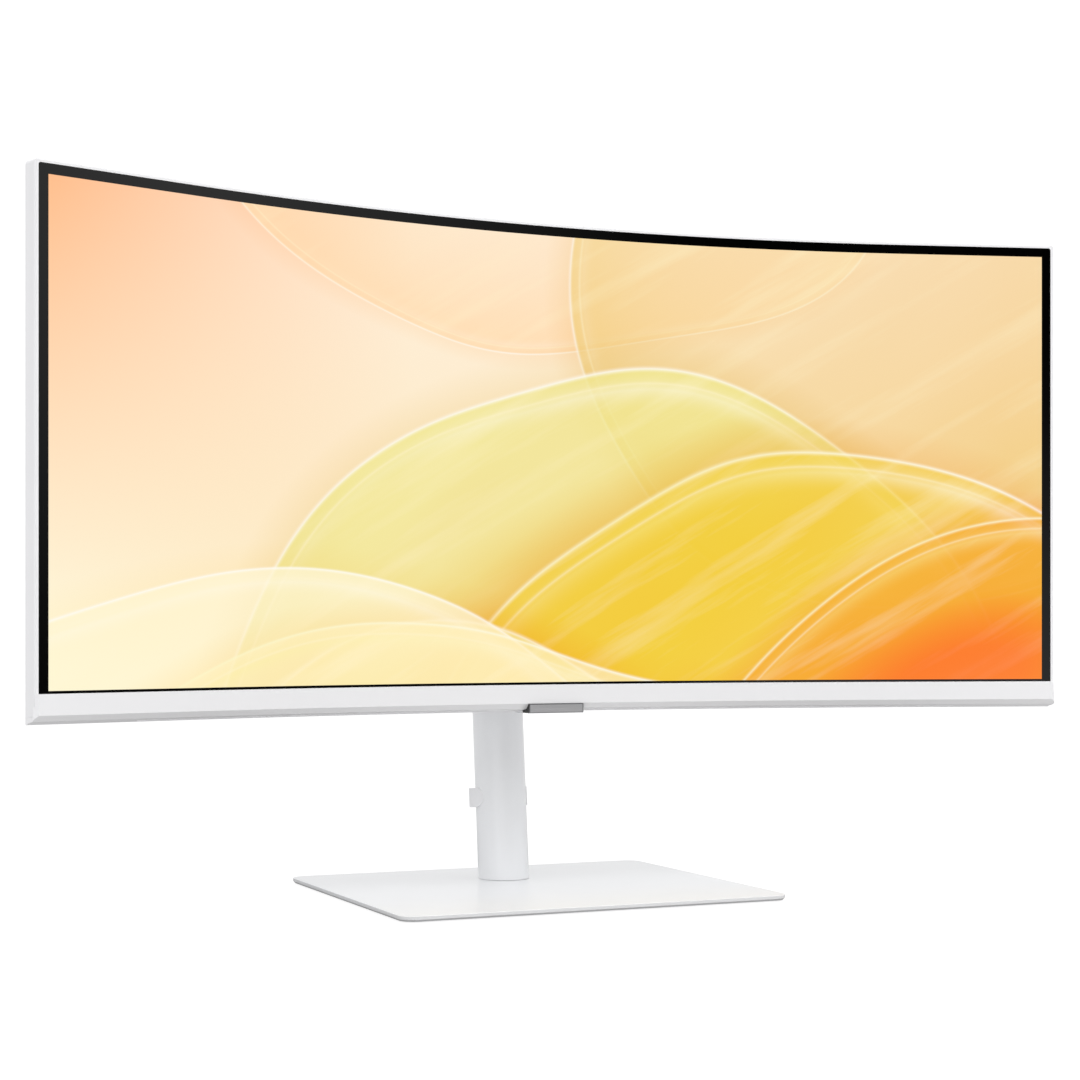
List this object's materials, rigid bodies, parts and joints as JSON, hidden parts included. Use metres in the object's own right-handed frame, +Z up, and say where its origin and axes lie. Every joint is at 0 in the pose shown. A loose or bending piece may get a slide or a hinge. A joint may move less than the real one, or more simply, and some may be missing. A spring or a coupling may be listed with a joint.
{
  "type": "computer monitor",
  "caption": "Wide curved screen in a slim white housing, on a round column that swivels, lifts and tilts, standing on a flat plate base.",
  "frame": {"origin": "centre of the base plate's footprint, on the desk surface", "axes": "+Z up, viewer at -Y looking along +Y, +X to the viewer's right"},
  "size_m": [0.8062, 0.261, 0.5048],
  "materials": {
    "white_shell": "fine satin-moulded warm white",
    "white_metal": "smooth white powder coat",
    "screen_glass": "semi-gloss screen film, lit picture",
    "badge_silver": "fine satin",
    "black_plastic": "dark satin",
    "grey_plastic": "satin grey",
    "film_white": "diffusing film",
    "clear_guide": "clear acrylic",
    "sheet_metal": "rolled sheet",
    "plated_steel": "zinc plated",
    "dark_steel": "black oxide",
    "bright_steel": "polished",
    "nylon": "self-lubricating bearing plastic",
    "rubber": "soft matt",
    "circuit_green": "solder mask",
    "led_yellow": "phosphor"
  },
  "bodies": {
    "base": {"base_plate": "white_metal", "base_feet": "rubber", "swivel_post": "plated_steel", "swivel_washers": "bright_steel", "swivel_nut": "plated_steel"},
    "thumb_screw": {"base_screw": "dark_steel"},
    "screw_ring": {"screw_bail": "bright_steel"},
    "column": {"column_tube": "white_metal", "top_collar": "grey_plastic", "foot_bush": "nylon", "spring_seat": "plated_steel", "gas_cylinder": "dark_steel", "cable_clip": "white_shell"},
    "slider": {"mast": "white_metal", "mast_bush": "nylon", "gas_rod": "bright_steel", "gas_piston": "nylon", "hinge_head": "sheet_metal", "head_cover": "white_shell", "tilt_shaft": "plated_steel", "tilt_washers": "bright_steel", "tilt_nuts": "dark_steel"},
    "release": {"release_button": "grey_plastic"},
    "jog_gimbal": {"jog_ring": "plated_steel"},
    "jog_lever": {"jog_stem": "black_plastic"},
    "jog_cap": {"jog_knob": "grey_plastic"},
    "display": {"stand_disc": "plated_steel", "disc_cover": "white_shell", "vesa_bracket": "plated_steel", "vesa_bushes": "plated_steel", "bracket_screws": "dark_steel", "front_frame": "white_shell", "chin": "white_shell", "badge_block": "black_plastic", "badge_plate": "badge_silver", "rear_cover": "white_shell", "cover_screws": "dark_steel", "cover_standoffs": "sheet_metal", "lcd_cell": "screen_glass", "optical_sheets": "film_white", "light_guide": "clear_guide", "reflector_sheet": "film_white", "led_bar": "led_yellow", "back_chassis": "sheet_metal", "source_boards": "circuit_green", "timing_board": "circuit_green", "board_chassis": "sheet_metal", "main_board": "circuit_green", "heat_sink": "sheet_metal", "power_board": "circuit_green", "power_parts": "black_plastic", "speakers": "black_plastic", "port_panel": "plated_steel", "power_inlet": "black_plastic", "lock_plate": "plated_steel", "jog_housing": "black_plastic", "lan_port": "black_plastic", "usb_ports": "plated_steel", "video_ports": "plated_steel", "audio_jack": "black_plastic"}
  },
  "joints": [
    {"name": "swivel", "type": "hinge", "parent": "base", "child": "column", "pos_m": [0, 0.0545, 0.01], "axis": [0, 0, 1], "range_deg": [-30, 30]},
    {"name": "height", "type": "slide", "parent": "column", "child": "slider", "axis": [0, 0.0958, 0.9954], "range_m": [-0.105, 0.015]},
    {"name": "tilt", "type": "hinge", "parent": "slider", "child": "display", "pos_m": [0, 0.05, 0.3285], "axis": [-1, 0, 0], "range_deg": [-3, 22]},
    {"name": "stand_release", "type": "slide", "parent": "display", "child": "release", "axis": [0, -1, 0], "range_m": [0, 0.003], "stiffness_N_per_m": 600, "springref_m": -0.002},
    {"name": "jog_up_down", "type": "hinge", "parent": "display", "child": "jog_gimbal", "pos_m": [-0.005, 0.009, 0.151], "axis": [1, 0, 0], "range_deg": [-7, 7], "stiffness_Nm_per_rad": 0.02},
    {"name": "jog_left_right", "type": "hinge", "parent": "jog_gimbal", "child": "jog_lever", "pos_m": [-0.005, 0.009, 0.151], "axis": [0, 1, 0], "range_deg": [-7, 7], "stiffness_Nm_per_rad": 0.02},
    {"name": "jog_press", "type": "slide", "parent": "jog_lever", "child": "jog_cap", "axis": [0, 0, 1], "range_m": [0, 0.0008], "stiffness_N_per_m": 1500, "springref_m": -0.0003},
    {"name": "thumb_screw_turn", "type": "hinge", "parent": "base", "child": "thumb_screw", "pos_m": [0, 0.0545, 0.004], "axis": [0, 0, 1], "continuous": true},
    {"name": "screw_ring_fold", "type": "hinge", "parent": "thumb_screw", "child": "screw_ring", "pos_m": [0, 0.0545, 0.0029], "axis": [1, 0, 0], "range_deg": [0, 90]}
  ]
}
